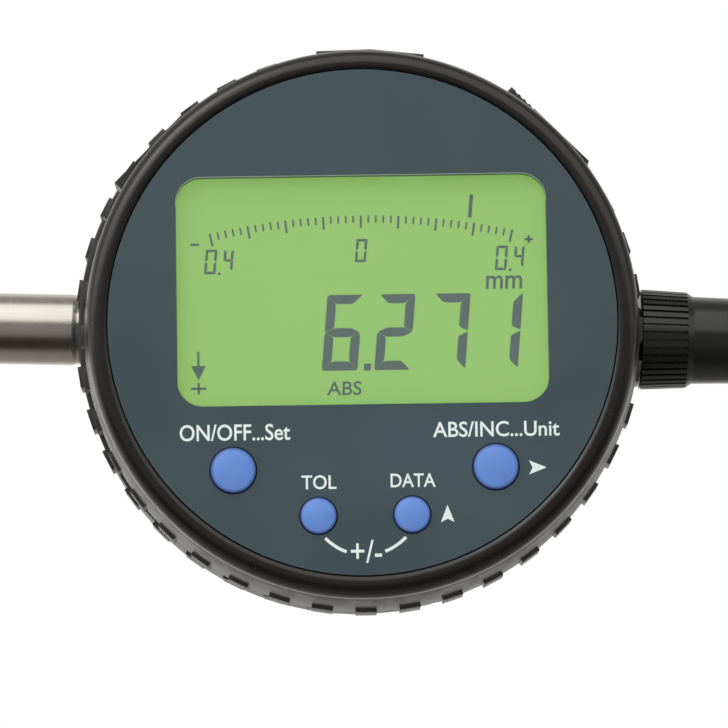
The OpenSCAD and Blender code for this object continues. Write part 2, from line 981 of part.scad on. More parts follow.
// A domed key with a flange under the panel and a foot over its switch.
module key(k) {
    r = k[2] / 2;
    dome = key_proud * 0.6;
    foot = board_front - switch_t - key_travel - 0.05;
    round_r = (r * r + dome * dome) / (2 * dome);
    color("#5f86d8")
        head_frame()
            translate([k[0], k[1], 0]) {
                disc(r, dome - key_proud, panel_t + 0.1);
                disc(r + 0.5, panel_t + 0.05, panel_t + 0.6);
                disc(r - 0.9, panel_t + 0.5, foot);
                intersection() {
                    translate([0, 0, -key_proud + round_r])
                        sphere(round_r);
                    disc(r, -key_proud - cut, dome - key_proud + 0.01);
                }
            }
}

module power_key() {
    key(KEYS[0]);
}

module mode_key() {
    key(KEYS[1]);
}

module tolerance_key() {
    key(KEYS[2]);
}

module data_key() {
    key(KEYS[3]);
}

module battery_drawer() {
    color("#2a2a2b")
        head_frame()
            rotate(left_flat) {
                difference() {
                    union() {
                        drawer_space();
                        flat_block(cap_r + 0.1);
                        for (side = [-1, 1])
                            rotate(side * cap_pad_turn)
                                block([cap_r + 0.1, -pad_w / 2, flat_front],
                                      [head_r + pad_proud, pad_w / 2, flat_back]);
                    }
                    translate([cell_at, 0, 0]) {
                        disc(cell_d / 2 + slide_gap, tray_front - cut, cell_front + cell_t);
                        disc(cell_d / 2 - 1.5, tray_front - cut, tray_back + cut);
                    }
                }
            }
}

module battery_cell() {
    color("#d2d4d6")
        head_frame()
            rotate(left_flat)
                translate([cell_at, 0, 0]) {
                    disc(cell_d / 2 - 1.5, cell_front, cell_front + 0.35);
                    disc(cell_d / 2, cell_front + 0.35, cell_front + cell_t - 0.02);
                }
}

module port_cover() {
    color("#2a2a2b")
        head_frame()
            rotate(right_flat)
                difference() {
                    union() {
                        flat_block(flat_floor);
                        port_plug(port_face + 0.2, flat_floor + 0.1);
                    }
                    for (i = [0:port_rib_count - 1])
                        translate([flat_r, 0.7 - flat_w / 2 - flat_shift + 2 * port_rib * i, 0])
                            block([-port_rib_depth, 0, flat_front - cut], [cut, port_rib, flat_back + cut]);
                }
}

body_shell();
back_cover();
cover_screws();
stem();
lower_bush();
stem_wiper();
upper_bush();
guard_cap();
guide_rail();
sensor_board();
sensor_chip();
board_screws();
friction_washer();
swivel_bush();
swivel_screws();
stop_pin();
return_spring();
flex_cable();
spindle();
contact_point();
contact_ball();
scale_carrier();
carrier_screw();
glass_scale();
head_shell();
bezel_ring();
face_panel();
panel_gasket();
display_window();
lcd_panel();
backlight_plate();
lcd_frame();
contact_strips();
display_board();
board_chips();
flex_socket();
key_switches();
head_rear_plate();
plate_screws();
port_block();
port_contacts();
battery_contacts();
power_key();
mode_key();
tolerance_key();
data_key();
battery_drawer();
battery_cell();
port_cover();
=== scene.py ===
import math

import bmesh
import bpy
from mathutils import Matrix, Vector


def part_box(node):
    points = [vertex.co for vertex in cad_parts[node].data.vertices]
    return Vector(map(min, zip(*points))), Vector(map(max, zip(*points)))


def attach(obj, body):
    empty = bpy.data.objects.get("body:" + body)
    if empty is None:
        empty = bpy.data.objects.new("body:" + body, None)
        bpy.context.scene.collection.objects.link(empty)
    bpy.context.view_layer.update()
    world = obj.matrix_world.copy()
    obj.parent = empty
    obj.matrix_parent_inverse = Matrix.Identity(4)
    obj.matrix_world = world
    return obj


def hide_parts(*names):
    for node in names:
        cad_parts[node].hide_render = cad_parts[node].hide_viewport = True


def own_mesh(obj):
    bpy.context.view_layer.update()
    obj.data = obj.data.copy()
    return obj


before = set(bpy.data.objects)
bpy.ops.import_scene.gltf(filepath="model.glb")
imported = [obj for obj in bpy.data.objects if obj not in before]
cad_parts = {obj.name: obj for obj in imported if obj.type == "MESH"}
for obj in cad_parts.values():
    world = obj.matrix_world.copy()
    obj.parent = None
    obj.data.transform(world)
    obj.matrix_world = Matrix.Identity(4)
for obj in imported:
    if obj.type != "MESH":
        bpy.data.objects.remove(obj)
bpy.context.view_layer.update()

# ---- The bench -----------------------------------------------------------------------------------
# The indicator is held by its stem over a pale matt floor, before white paper. A long soft light
# hangs above the front, the room under it is dim, and the paper lights the back and the underside.
MM = 0.001
panel_low, panel_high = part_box("face_panel")
face = Vector(((panel_low.x + panel_high.x) / 2, panel_low.y, (panel_low.z + panel_high.z) / 2))

camera_target = face + Vector((0.25, 0, -4.73)) * MM
camera_reach = 0.598
camera_side, camera_rise, camera_roll = (math.radians(turn) for turn in (-0.22, -6.81, 0.94))
camera_away = Vector((math.sin(camera_side) * math.cos(camera_rise),
                      -math.cos(camera_side) * math.cos(camera_rise), math.sin(camera_rise)))
camera_data = bpy.data.cameras.new("bench_camera")
camera_data.lens, camera_data.sensor_width, camera_data.clip_start = 271, 36, 0.01
camera = bpy.data.objects.new("bench_camera", camera_data)
camera_turn = (-camera_away).to_track_quat("-Z", "Y").to_matrix() @ Matrix.Rotation(camera_roll, 3, "Z")
camera.matrix_world = Matrix.Translation(camera_target + camera_away * camera_reach) @ camera_turn.to_4x4()
bpy.context.scene.collection.objects.link(camera)
bpy.context.scene.camera = camera
bpy.context.scene.view_settings.view_transform = "Standard"


class Field:
    """A value in a material's node tree. Arithmetic on fields adds the nodes that work it out."""

    def __init__(self, tree, socket=None):
        self.tree, self.socket = tree, socket

    def node(self, kind, settings=None, inputs=None, out=0):
        """Adds a node: its settings first, then a value or a field for each input, and gives one output."""
        made = self.tree.nodes.new("ShaderNode" + kind)
        for name, value in (settings or {}).items():
            if name == "stops":
                while len(made.color_ramp.elements) < len(value):
                    made.color_ramp.elements.new(0.5)
                for stop, (place, shade) in zip(made.color_ramp.elements, value):
                    stop.position, stop.color = place, (shade, shade, shade, 1)
            else:
                setattr(made, name, value)
        for name, value in (inputs or {}).items():
            if isinstance(value, Field):
                self.tree.links.new(value.socket, made.inputs[name])
            else:
                made.inputs[name].default_value = value
        return Field(self.tree, made.outputs[out])

    def math(self, operation, *terms):
        return self.node("Math", {"operation": operation}, dict(enumerate(terms)))

    def __add__(self, other):
        return self.math("ADD", self, other)

    def __mul__(self, other):
        return self.math("MULTIPLY", self, other)

    def __sub__(self, other):
        return self.math("SUBTRACT", self, other)

    def __rsub__(self, other):
        return self.math("SUBTRACT", other, self)

    __radd__ = __add__
    __rmul__ = __mul__

    def place(self, stretch=(1, 1, 1), centre=(0, 0, 0)):
        """Points on the piece, stretched and centred, for a pattern to follow."""
        spot = self.node("TexCoord", out="Object")
        return self.node("Mapping", {}, {"Vector": spot, "Scale": stretch,
                                         "Location": tuple(-c * s for c, s in zip(centre, stretch))})

    def noise(self, size, detail=3.0, stretch=(1, 1, 1)):
        """Noise whose blobs are about size millimetres across."""
        return self.node("TexNoise", {}, {"Vector": self.place(stretch), "Scale": 1 / (size * MM),
                                          "Detail": detail, "Roughness": 0.6})

    def ramp(self, *stops):
        return self.node("ValToRGB", {"stops": stops}, {"Fac": self})

    def blend(self, low, high):
        """A colour between two, by this field."""
        low, high = (c if isinstance(c, Field) else (*c, 1) for c in (low, high))
        return self.node("Mix", {"data_type": "RGBA"}, {0: self, 6: low, 7: high}, out=2)


walls = bpy.data.worlds.new("paper_and_long_light")
walls.use_nodes = True
paper = walls.node_tree.nodes["Background"]
paper.inputs["Color"].default_value = (1.0, 1.0, 1.0, 1)
look = Field(walls.node_tree).node("TexCoord", out="Generated")
sideways, inward, upward = (look.node("SeparateXYZ", {}, {0: look}, out=axis) for axis in "XYZ")
round_x = upward.math("ARCTAN2", upward, 0 - inward)
band = (round_x * (1 / math.tau) + 0.5).ramp(
    (0.00, 0.60), (0.06, 0.45), (0.12, 0.19), (0.26, 0.12), (0.30, 0.01), (0.40, 0.01),
    (0.43, 0.12), (0.51, 0.16), (0.528, 0.04), (0.545, 0.04), (0.56, 0.75), (0.72, 0.75),
    (0.74, 0.05), (0.77, 0.16), (0.92, 0.22), (1.00, 0.60))
glow = (band * (0.84 - 0.32 * sideways)).blend((0.022, 0.014, 0.007), (2.5, 2.47, 2.42))
room = look.node("Background", {}, {"Color": glow, "Strength": 1.0})
seen = look.node("LightPath", out="Is Camera Ray")
both = look.node("MixShader", {}, {0: seen, 1: room, 2: Field(walls.node_tree, paper.outputs[0])})
walls.node_tree.links.new(both.socket, walls.node_tree.nodes["World Output"].inputs["Surface"])
bpy.context.scene.world = walls


def soft_light(name, offset, size, power):
    """A square lamp whose face points at the indicator's face."""
    lamp = bpy.data.lights.new(name, "AREA")
    lamp.size, lamp.energy = size, power
    holder = bpy.data.objects.new(name, lamp)
    aim = (-Vector(offset)).to_track_quat("-Z", "Y").to_matrix().to_4x4()
    holder.matrix_world = Matrix.Translation(face + Vector(offset)) @ aim
    bpy.context.scene.collection.objects.link(holder)


soft_light("window_light", (-0.35, -0.30, 0.45), 0.30, 0.7)
soft_light("back_light", (0.10, 0.60, 0.50), 0.50, 0.35)

floor_height = -0.125
floor_mesh = bmesh.new()
bmesh.ops.create_circle(floor_mesh, cap_ends=True, segments=96, radius=2.5)
bmesh.ops.translate(floor_mesh, verts=floor_mesh.verts, vec=(face.x, face.y, floor_height))
floor_data = bpy.data.meshes.new("bench_top")
floor_mesh.to_mesh(floor_data)
floor_mesh.free()
floor = bpy.data.objects.new("bench_top", floor_data)
bpy.context.scene.collection.objects.link(floor)
floor.visible_glossy = False


# ---- Clamping stem -------------------------------------------------------------------------------
# An 8 mm shaft of stainless steel, turned and then ground between centres, pressed into the rear
# body, with a shallow relief where they meet. Grinding leaves very fine rings round it.
def tint(red, green, blue):
    """A shader colour from the 0 to 255 values of a colour chart."""
    return tuple(((c / 255 + 0.055) / 1.055) ** 2.4 if c > 10 else c / 255 / 12.92
                 for c in (red, green, blue))


def finish(name, build, **fixed):
    """A material. build gives what varies over the surface, and the rest is set on the shader."""
    material = bpy.data.materials.new(name)
    material.use_nodes = True
    tree = material.node_tree
    shader = tree.nodes["Principled BSDF"]
    for socket, value in fixed.items():
        shader.inputs[socket.replace("_", " ")].default_value = value
    for socket, value in build(Field(tree)).items():
        tree.links.new(value.socket, shader.inputs[socket])
    return material


def ground_steel(name, colour, roughness, along=(1, 0.03, 0.03), depth=0.5):
    """Ground or turned metal: fine rings across one direction, patches of shine, and light marks."""
    def build(start):
        rings = start.noise(0.06, 2.0, along)
        patches = start.noise(4.0)
        marks = start.noise(1.2, 5.0, (0.25, 1, 1)).ramp((0.66, 0), (0.74, 1))
        shine = roughness + 0.10 * (patches - 0.5) + 0.08 * (rings - 0.5) + 0.10 * marks
        shade = (patches * 0.6 + rings * 0.4).blend([c * 0.86 for c in colour],
                                                    [min(1, c * 1.1) for c in colour])
        relief = start.node("Bump", {}, {"Strength": depth, "Distance": 0.004 * MM,
                                         "Height": rings - 0.3 * marks})
        return {"Base Color": shade, "Roughness": shine, "Normal": relief}
    return finish(name, build, Metallic=1.0)


def turned(outline, hub, along, steps=96, ring=False):
    """Spins an outline round an axis. Its points are distance along, radius and fillet, in mm."""
    bm = bmesh.new()
    side = Vector((1, 0, 0)) if abs(along.x) < 0.5 else Vector((0, 0, 1))
    verts = [bm.verts.new(hub + along * p[0] * MM + side * p[1] * MM) for p in outline]
    pairs = list(zip(verts, verts[1:])) + ([(verts[-1], verts[0])] if ring else [])
    for pair in pairs:
        bm.edges.new(pair)
    for vert, point in zip(verts, outline):
        if len(point) > 2:
            bmesh.ops.bevel(bm, geom=[vert], affect="VERTICES", offset=point[2] * MM, offset_type="OFFSET",
                            segments=4, profile=0.5, material=-1, clamp_overlap=False)
    bmesh.ops.spin(bm, geom=bm.verts[:] + bm.edges[:], cent=hub, axis=along, dvec=(0, 0, 0),
                   angle=math.tau, steps=steps, use_merge=True)
    return bm


def settle(name, bm, material, body, slot, *nodes, sharp=35, outward=True):
    """Closes a worked shape, keeps its sharp edges crisp, and puts the piece on its body."""
    bmesh.ops.remove_doubles(bm, verts=bm.verts, dist=0.0005 * MM)
    if outward:
        bmesh.ops.recalc_face_normals(bm, faces=bm.faces)
    mesh = bpy.data.meshes.new(name)
    bm.to_mesh(mesh)
    bm.free()
    mesh.shade_smooth()
    mesh.set_sharp_from_angle(angle=math.radians(sharp))
    mesh.materials.append(material)
    piece = bpy.data.objects.new(name, mesh)
    bpy.context.scene.collection.objects.link(piece)
    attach(piece, body)
    if nodes:
        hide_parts(*nodes)
    return piece


def span(node, hub=Vector()):
    """A node's lowest and highest corners in mm, measured from a hub."""
    low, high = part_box(node)
    return (low - hub) / MM, (high - hub) / MM


ALONG_X, ALONG_Y = Vector((1, 0, 0)), Vector((0, 1, 0))
ORIGIN = Vector()
stem_low, stem_high = span("stem")
stem_r = stem_high.z
stem_nose = 0.5
mouth_r, relief_length, relief_sunk = 2.6, 1.2, 0.12
relief_from = -stem_low.x - stem_nose
relief_to = relief_from + relief_length
relief_r = stem_r - relief_sunk
stem_steel = ground_steel("ground_stem_steel", tint(196, 192, 184), 0.27)
stem = turned([(stem_low.x, 0), (stem_low.x, mouth_r, 0.1), (stem_low.x, stem_r - stem_nose, 0.05),
               (stem_low.x + stem_nose, stem_r, 0.1), (relief_from, stem_r, 0.05),
               (relief_from + 0.5, relief_r, 0.1), (relief_to + 0.2, relief_r), (relief_to + 0.2, 0)],
              ORIGIN, ALONG_X, 128)
settle("clamping_stem", stem, stem_steel, "body", "stem_steel", "stem")


# ---- Rear body -----------------------------------------------------------------------------------
# A round housing moulded in black glass-filled nylon, with grip pads all round its rim. The moulded
# skin is finely textured and dull, and the pads are polished a little where fingers turn it.
def moulded(name, colour, roughness, grain=0.22, depth=0.010, scuffs=0.35, **fixed):
    """Moulded plastic: a fine textured skin, uneven shine and tone, and small rubbed or dusty marks."""
    def build(start):
        skin = start.noise(grain, 3.0)
        patches = start.noise(9.0, 4.0)
        rubbed = start.noise(0.9, 6.0).ramp((0.60, 0), (0.72, 1))
        dust = start.node("TexVoronoi", {}, {"Vector": start.place(), "Scale": 1 / (1.6 * MM)}).ramp(
            (0.035, 1), (0.05, 0)) * start.noise(2.5).ramp((0.56, 0), (0.60, 1))
        tone = patches.blend([c * 0.80 for c in colour], [c * 1.22 for c in colour])
        worn = (rubbed * scuffs * 0.5).blend(tone, [c * 2.2 + 0.01 for c in colour])
        shade = (dust * scuffs).blend(worn, (0.32, 0.32, 0.31))
        shine = roughness + 0.16 * (patches - 0.5) + 0.10 * (skin - 0.5) - 0.06 * rubbed
        relief = start.node("Bump", {}, {"Strength": 0.6, "Distance": depth * MM,
                                         "Height": skin - 0.25 * rubbed})
        return {"Base Color": shade, "Roughness": shine, "Normal": relief}
    return finish(name, build, **fixed)


def softened(node, width, bend=28):
    """A copy of a machined or moulded piece whose sharp edges are rounded over by width mm."""
    bm = bmesh.new()
    bm.from_mesh(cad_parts[node].data)
    bmesh.ops.remove_doubles(bm, verts=bm.verts, dist=0.0002 * MM)
    bmesh.ops.dissolve_limit(bm, angle_limit=math.radians(0.8), verts=bm.verts, edges=bm.edges)
    crisp = [e for e in bm.edges if e.is_manifold and e.calc_face_angle(0) > math.radians(bend)]
    bmesh.ops.bevel(bm, geom=crisp, affect="EDGES", offset=width * MM, offset_type="OFFSET", segments=2,
                    profile=0.5, material=-1, clamp_overlap=True)
    return bm


body_plastic = moulded("black_body_plastic", tint(44, 43, 42), 0.46)
settle("rear_housing", softened("body_shell", 0.12), body_plastic, "body", "body_plastic", "body_shell",
       outward=False)


# ---- Back cover and its screws -------------------------------------------------------------------
# A flat moulded lid let into the rear of the housing, held by four cross-slotted steel screws whose
# heads sit in spotfaces. The lid's skin is a coarser spark-eroded texture.
cover_plastic = moulded("back_cover_plastic", tint(52, 53, 55), 0.55, grain=0.35, depth=0.02)
settle("back_lid", softened("back_cover", 0.12), cover_plastic, "body", "cover_plastic", "back_cover",
       outward=False)
screw_steel = ground_steel("plated_screw_steel", tint(176, 178, 182), 0.32, (1, 0.1, 1), 0.3)
settle("lid_screws", softened("cover_screws", 0.05), screw_steel, "body", "screw_steel", "cover_screws",
       outward=False)


# ---- Guard cap -----------------------------------------------------------------------------------
# A black moulded cap that screws onto the upper bush and covers the far end of the spindle. Its
# collar has forty straight flutes for fingers, and the tube behind them tapers gently.
cap_low, cap_high = span("guard_cap")
collar_r = cap_high.z
collar_length, flute_depth = 5.3, 0.26
collar_to = cap_low.x + collar_length
chamfer_to = collar_to + 0.7
flute_steps = 8
flutes = 40
collar_end_r = collar_r - 0.2385
tube_from_r, tube_to_r = 4.92, 4.46
bore_to, nose_to, bore_r, nose_r = cap_high.x - 1.5, cap_low.x + 3.85, 2.9, 3.62
cap = turned([(bore_to, 0), (bore_to, bore_r), (nose_to, bore_r), (nose_to, nose_r), (cap_low.x, nose_r, 0.1),
              (cap_low.x, collar_r - 0.25), (cap_low.x + 0.25, collar_r), (collar_to - 0.1, collar_end_r),
              (collar_to, collar_end_r - 0.03, 0.02),
              (chamfer_to, tube_from_r, 0.08), (cap_high.x, tube_to_r, 0.9), (cap_high.x, 0)],
             ORIGIN, ALONG_X, flutes * flute_steps)
collar = [f for f in cap.faces if cap_low.x + 0.25 < f.calc_center_median().x / MM < collar_to
          and math.hypot(f.calc_center_median().y, f.calc_center_median().z) / MM > collar_r - 0.35]


def clockwise(point):
    """The angle in degrees of a point about the spindle's axis."""
    return math.degrees(math.atan2(point.y, point.z)) % 360


pitch = 360 / flutes
grooves = [f for f in collar if clockwise(f.calc_center_median()) % pitch < pitch * 3 / 8]
groove_parts = grooves + list({e for f in grooves for e in f.edges})
groove_parts += list({v for f in grooves for v in f.verts})
sunk = bmesh.ops.extrude_face_region(cap, geom=groove_parts)["geom"]
for vert in (v for v in sunk if isinstance(v, bmesh.types.BMVert)):
    sunk_part = flute_depth * MM / math.hypot(vert.co.y, vert.co.z)
    vert.co.y -= vert.co.y * sunk_part
    vert.co.z -= vert.co.z * sunk_part
cap_plastic = moulded("guard_cap_plastic", tint(27, 28, 28), 0.26, grain=0.15, depth=0.006)
settle("guard_cap_shell", cap, cap_plastic, "body", "cap_plastic", "guard_cap")


def dress(material, *nodes):
    """Gives pieces that keep their machined shape their own finish."""
    for node in nodes:
        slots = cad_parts[node].data.materials
        slots.clear()
        slots.append(material)


bush_brass = ground_steel("turned_brass", tint(190, 152, 84), 0.30)
blackened = ground_steel("blackened_brass", tint(58, 54, 48), 0.42)
dress(blackened, "upper_bush")
dress(bush_brass, "lower_bush", "swivel_bush")


# ---- Spindle and contact point -------------------------------------------------------------------
# The measuring rod is hardened and ground. A knurled steel point screws into its end and holds a
# polished carbide ball, which is what touches the work.
spindle_low, spindle_high = span("spindle")
point_low, point_high = span("contact_point")
ball_low, ball_high = span("contact_ball")
rod_r = spindle_high.z
rod_steel = ground_steel("ground_rod_steel", tint(205, 206, 208), 0.20)
rod = turned([(spindle_low.x, 0), (spindle_low.x, rod_r, 0.3), (spindle_high.x, rod_r, 0.3),
              (spindle_high.x, 0)], ORIGIN, ALONG_X, 96)
settle("measuring_rod", rod, rod_steel, "spindle", "ground_steel", "spindle")

grip_r = point_high.z
grip_from, grip_to = spindle_low.x - 0.4, spindle_low.x - 3.5
ball_x = (ball_low.x + ball_high.x) / 2
ball_r = ball_high.z
seat_r = ball_r * 0.9
knurls = 24
point = turned([(spindle_low.x, 0), (spindle_low.x, rod_r - 0.15), (grip_from, rod_r - 0.15),
                (grip_from, grip_r, 0.12), (grip_to, grip_r, 0.15), (point_low.x, seat_r, 0.06),
                (point_low.x + 0.35, seat_r - 0.35), (point_low.x + 0.6, 0)], ORIGIN, ALONG_X, knurls * 6)
for vert in point.verts:
    out_from_axis = math.hypot(vert.co.y, vert.co.z) / MM
    if grip_to + 0.2 < vert.co.x / MM < grip_from - 0.1 and out_from_axis > grip_r - 0.02:
        turn = clockwise(vert.co) % (360 / knurls) / (360 / knurls)
        vert.co.yz *= 1 - 0.065 * max(0, math.cos(math.tau * turn)) ** 2
point_steel = ground_steel("turned_point_steel", tint(172, 173, 176), 0.30)
settle("knurled_point", point, point_steel, "spindle", "point_steel", "contact_point")

ball = bmesh.new()
bmesh.ops.create_uvsphere(ball, u_segments=64, v_segments=32, radius=ball_r * MM)
bmesh.ops.rotate(ball, verts=ball.verts, cent=(0, 0, 0), matrix=Matrix.Rotation(math.pi / 2, 3, "Y"))
bmesh.ops.translate(ball, verts=ball.verts, vec=(ball_x * MM, 0, 0))
carbide = ground_steel("polished_carbide", tint(150, 152, 156), 0.10, (1, 1, 1), 0.1)
settle("carbide_ball", ball, carbide, "spindle", "carbide", "contact_ball")


# ---- Inside the rear body ------------------------------------------------------------------------
# A clamp on the rod carries a glass scale past a reading board, and runs in a slot along a steel
# rail so that the rod can't turn. A wound spring pushes the rod out.
def lacquered(name, colour, lines=0.9):
    """A circuit board's lacquer: slightly glossy, with tracks showing through as a second tone."""
    def build(start):
        tracks = start.node("TexBrick", {"offset": 0.5}, {
            "Vector": start.place((1, 1, 1)), "Scale": 1 / (6 * MM), "Mortar Size": 0.03,
            "Color1": (0, 0, 0, 1), "Color2": (0, 0, 0, 1), "Mortar": (1, 1, 1, 1)})
        mottled = start.noise(3.0)
        shade = (tracks * lines * 0.5).blend(
            mottled.blend([c * 0.8 for c in colour], [c * 1.2 for c in colour]), [c * 1.9 for c in colour])
        relief = start.node("Bump", {}, {"Strength": 0.4, "Distance": 0.01 * MM, "Height": tracks})
        return {"Base Color": shade, "Roughness": 0.30 + 0.2 * (mottled - 0.5), "Normal": relief}
    return finish(name, build)


board_green = lacquered("board_lacquer", tint(32, 92, 60))
chip_black = moulded("chip_resin", tint(28, 28, 30), 0.5, grain=0.12)
rail_steel = ground_steel("drawn_rail_steel", tint(190, 192, 195), 0.25, (0.03, 1, 1))
carrier_metal = ground_steel("milled_carrier_alloy", tint(168, 171, 175), 0.35, (1, 1, 0.05))
scale_glass = finish("etched_scale_glass", lambda start: {
    "Base Color": start.noise(0.1, 1.0, (1, 0.02, 0.02)).ramp((0.48, 0), (0.52, 1)).blend(tint(90, 105, 112),
                                                                                       tint(214, 230, 234)),
    "Roughness": 0.08 + 0.1 * start.noise(2.0)})
flex_amber = moulded("polyimide_film", tint(176, 108, 42), 0.30, grain=0.5, depth=0.004)
seal_rubber = moulded("black_seal_rubber", tint(30, 30, 31), 0.70, grain=0.10)
washer_white = moulded("washer_nylon", tint(222, 217, 202), 0.45, scuffs=0.2)
dress(board_green, "sensor_board", "display_board")
dress(chip_black, "sensor_chip", "board_chips")
dress(rail_steel, "guide_rail", "stop_pin")
dress(carrier_metal, "scale_carrier")
dress(screw_steel, "board_screws", "carrier_screw", "swivel_screws", "plate_screws")
dress(scale_glass, "glass_scale")
dress(flex_amber, "flex_cable")
dress(seal_rubber, "stem_wiper", "panel_gasket")
dress(washer_white, "friction_washer")

spring_low, spring_high = span("return_spring")
spring_turns, spindle_travel = 12, 12.5
wire_r = 0.2
coil_r = spring_high.z - wire_r
coil_from, coil_to = spring_low.x + wire_r, spring_high.x - wire_r
spring = bmesh.new()
bmesh.ops.create_circle(spring, cap_ends=True, segments=8, radius=wire_r * MM)
bmesh.ops.rotate(spring, verts=spring.verts, cent=(0, 0, 0), matrix=Matrix.Rotation(-math.pi / 2, 3, "X"))
bmesh.ops.translate(spring, verts=spring.verts, vec=(coil_from * MM, 0, coil_r * MM))
spring_steps = spring_turns * 24
bmesh.ops.spin(spring, geom=spring.faces[:] + spring.edges[:] + spring.verts[:], cent=(0, 0, 0), axis=ALONG_X,
               dvec=ALONG_X * ((coil_to - coil_from) * MM / spring_steps), angle=math.tau * spring_turns,
               steps=spring_steps)
bmesh.ops.holes_fill(spring, edges=[e for e in spring.edges if len(e.link_faces) == 1])
spring_wire = ground_steel("spring_wire", tint(140, 142, 146), 0.28, (1, 1, 1), 0.2)
coil = settle("wound_return_spring", spring, spring_wire, "body", "spring_steel", "return_spring", sharp=60)
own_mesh(coil)


# ---- Display head --------------------------------------------------------------------------------
# The head's wall is moulded in the same black plastic, with its own ring of grip pads and flat
# places at the upper left, the top and the upper right. It turns on the rear body.
head_plastic = moulded("black_head_plastic", tint(47, 46, 45), 0.44)
settle("head_wall", softened("head_shell", 0.10), head_plastic, "head", "head_plastic", "head_shell",
       outward=False)
dress(head_plastic, "head_rear_plate")


# ---- Bezel lip -----------------------------------------------------------------------------------
# A smooth rounded ring that frames the face and clips into the head's wall. It has no texture, only
# the sheen of a polished mould, and shows dust and handling more than the rest.
lip_low, lip_high = span("bezel_ring", face)
lip_r = lip_high.x
groove_r = (panel_high.x - panel_low.x) / 2 / MM + 0.1
lip_depth = span("head_shell", face)[0].y
crown = -lip_low.y
crest_r = groove_r + 0.65
seat_back_r, skirt_r, ledge_r = 28.87, 27.4, 27.0
ledge_back, ledge_front = 2.6, 1.8
arc = [math.radians(a) for a in range(0, 91, 6)]
lip_outline = [(0.35, groove_r), (0.1, groove_r, 0.06), (-crown + 0.02, groove_r + 0.32, 0.2)]
lip_outline += [(lip_depth - (lip_depth + crown) * math.cos(a), crest_r + (lip_r - crest_r) * math.sin(a))
                for a in arc]
lip_outline += [(lip_depth, seat_back_r), (lip_high.y, seat_back_r), (lip_high.y, skirt_r),
                (ledge_back, skirt_r), (ledge_back, ledge_r), (ledge_front, ledge_r), (ledge_front, groove_r)]
lip = turned(lip_outline, face, ALONG_Y, 320, ring=True)
bezel_plastic = moulded("bezel_satin_plastic", tint(25, 22, 20), 0.28, grain=0.5, depth=0.003, scuffs=0.5)
settle("bezel_lip", lip, bezel_plastic, "head", "bezel_plastic", "bezel_ring", sharp=40)


# ---- Face panel and its printing -----------------------------------------------------------------
# A flat blue-grey panel with a window and four round holes. Short names of the keys' functions,
# two arrowheads and a pair of curved lines are screen-printed on it in white.
def printed(start):
    weave = start.noise(0.16, 2.0)
    drift = start.noise(22.0, 2.0)
    shade = drift.blend(tint(36, 54, 60), tint(66, 87, 94))
    shade = (weave * 0.3).blend(shade, tint(66, 84, 91))
    relief = start.node("Bump", {}, {"Strength": 0.5, "Distance": 0.004 * MM, "Height": weave})
    return {"Base Color": shade, "Roughness": 0.42 + 0.15 * (weave - 0.5), "Normal": relief}


panel_finish = finish("face_panel_print", printed)
dress(panel_finish, "face_panel")


power_middle, mode_middle = (sum(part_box(node), Vector()) / 2 for node in ("power_key", "mode_key"))
rightwards = (mode_middle - power_middle).normalized()
downwards = Vector((rightwards.z, 0, -rightwards.x))


def on_face(right, down, depth):
    """A point on the face: mm to the right of and below its middle, and behind its surface."""
    return face + (rightwards * right + downwards * down + ALONG_Y * depth) * MM


def slab(bm, corners, depth, thick, blunt=0.0):
    """A thin flat shape with the given corners, cut back by blunt mm, raised towards the viewer."""
    verts = [bm.verts.new(on_face(x, y, depth)) for x, y in corners]
    flat = bm.faces.new(verts)
    if blunt:
        tips = bmesh.ops.bevel(bm, geom=verts, affect="VERTICES", offset=blunt * MM, offset_type="OFFSET",
                               segments=2, profile=0.5, material=-1, clamp_overlap=True)["verts"]
        flat = tips[0].link_faces[0]
    bm.normal_update()
    if flat.normal.y > 0:
        flat.normal_flip()
    lifted = bmesh.ops.extrude_face_region(bm, geom=[flat])["geom"]
    bmesh.ops.translate(bm, verts=[v for v in lifted if isinstance(v, bmesh.types.BMVert)],
                        vec=(0, -thick * MM, 0))


def bar(bm, start, end, width, depth, thick):
    """A straight line of a given width from one point to another."""
    run = Vector((end[0] - start[0], end[1] - start[1])).normalized() * width / 2
    across = Vector((-run.y, run.x))
    first, last = Vector(start), Vector(end)
    slab(bm, [first + across, last + across, last - across, first - across], depth, thick)


def lettering(bm, words, left, right, top, bottom, depth, thick, slant=0.0, weight=0.0):
    """Words drawn as thin solid letters that just fill a box on the face."""
    text = bpy.data.curves.new("letters", "FONT")
    text.body, text.size, text.extrude, text.shear = words, 1.0, 0.5, slant
    text.offset, text.resolution_u = weight, 4
    holder = bpy.data.objects.new("letters", text)
    bpy.context.scene.collection.objects.link(holder)
    bpy.context.view_layer.update()
    mesh = bpy.data.meshes.new_from_object(holder.evaluated_get(bpy.context.evaluated_depsgraph_get()))
    bpy.data.objects.remove(holder)
    xs = [v.co.x for v in mesh.vertices]
    ys = [v.co.y for v in mesh.vertices]
    wide, tall = (right - left) / (max(xs) - min(xs)), (bottom - top) / (max(ys) - min(ys))
    for vert in mesh.vertices:
        x, y, z = vert.co
        vert.co = on_face(left + (x - min(xs)) * wide, bottom - (y - min(ys)) * tall,
                          depth - (z + 0.5) * thick)
    bm.from_mesh(mesh)
    bpy.data.meshes.remove(mesh)


